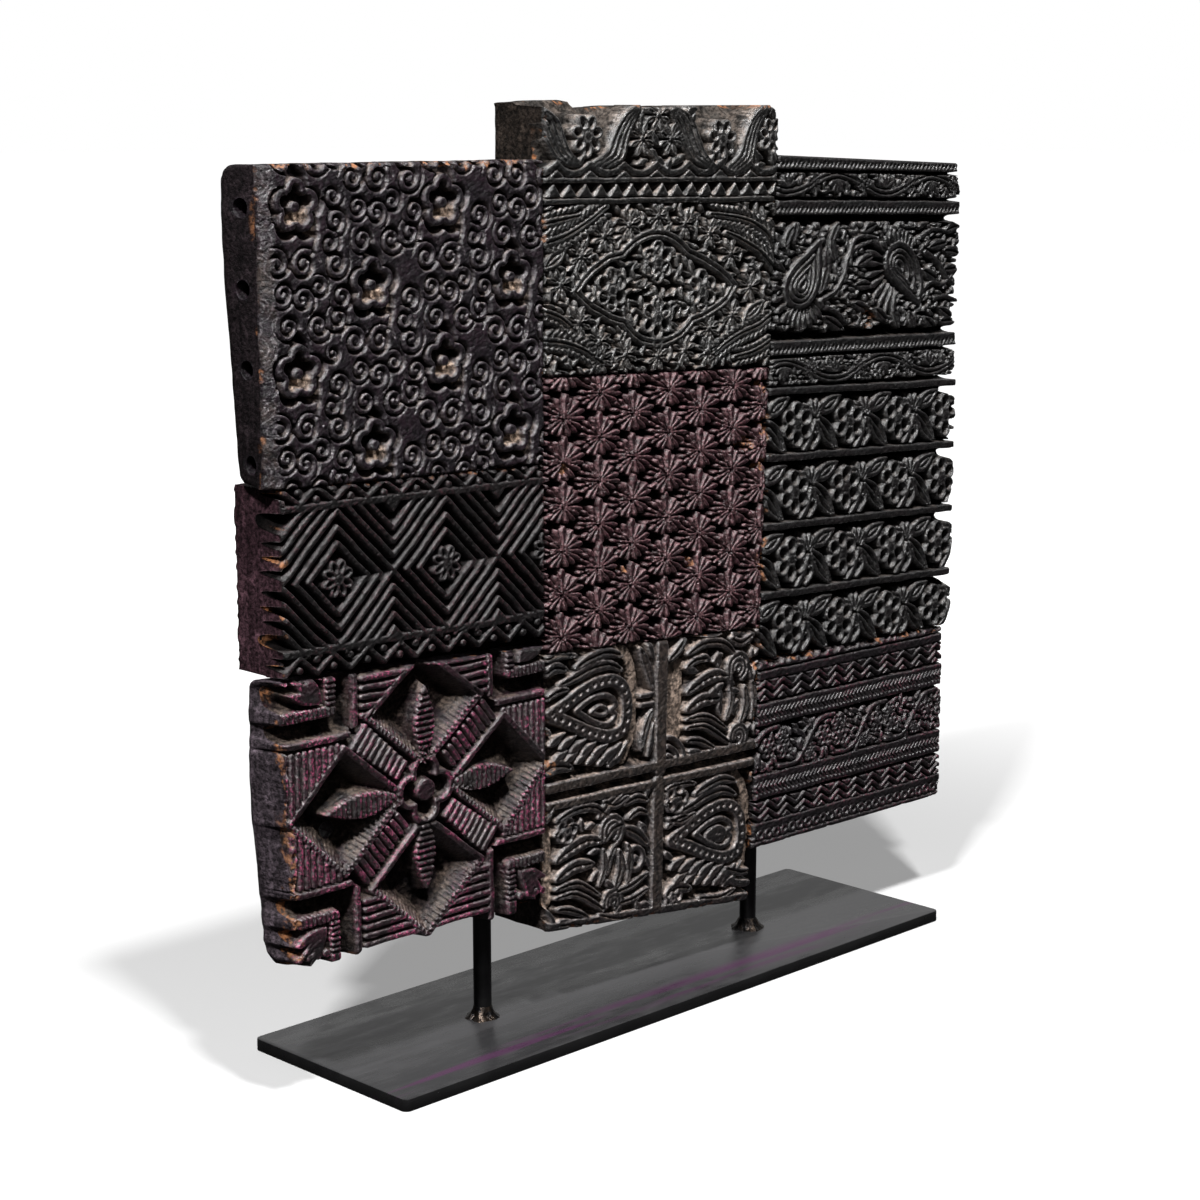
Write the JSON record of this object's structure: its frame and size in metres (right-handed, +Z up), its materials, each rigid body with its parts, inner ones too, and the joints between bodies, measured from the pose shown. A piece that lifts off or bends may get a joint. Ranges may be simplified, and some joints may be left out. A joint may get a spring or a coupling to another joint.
{
  "type": "wooden textile printing block display",
  "caption": "Carved wooden textile printing blocks joined edge to edge in a stepped panel, held upright by two steel rods welded to a flat base plate",
  "frame": {"origin": "on the floor under the middle of the base plate, which is also the middle of the panel", "axes": "+X along the base plate to the viewer's right when facing the carving, +Y from the carved faces to the backs, +Z up; the carved faces look along -Y"},
  "size_m": [0.428, 0.1, 0.3987],
  "materials": {
    "dark_steel": "dark grey hot-rolled flat bar, satin",
    "black_rod": "near-black round bar, satin",
    "weld": "bare weld bead with a golden-brown heat tint",
    "screw_steel": "plain steel screws",
    "purple_black_wood": "dense hardwood, soaked purplish black with dye, worn glossy",
    "black_wood": "dense hardwood, soaked black with dye, dusty in the carving",
    "dusty_wood": "dense hardwood, brown-black with old dye and grey dust",
    "mauve_wood": "dense hardwood, tops stained dusky mauve, black between them"
  },
  "bodies": {
    "root": {"base_plate": "dark_steel", "left_rod": "black_rod", "right_rod": "black_rod", "left_weld": "weld", "right_weld": "weld", "plum_blossom_block": "purple_black_wood", "chevron_block": "black_wood", "quatrefoil_block": "dusty_wood", "medallion_block": "black_wood", "fan_flower_block": "mauve_wood", "heart_block": "dusty_wood", "paisley_block": "black_wood", "flower_row_block": "black_wood", "border_block": "black_wood", "top_tie_left": "dark_steel", "top_tie_right": "dark_steel", "middle_tie_left": "dark_steel", "middle_tie_right": "dark_steel", "left_tie_upper": "dark_steel", "left_tie_lower": "dark_steel", "centre_tie_upper": "dark_steel", "centre_tie_lower": "dark_steel", "right_tie_upper": "dark_steel", "right_tie_lower": "dark_steel", "tie_screws": "screw_steel", "rod_clips": "dark_steel", "clip_screws": "screw_steel"}
  },
  "joints": []
}
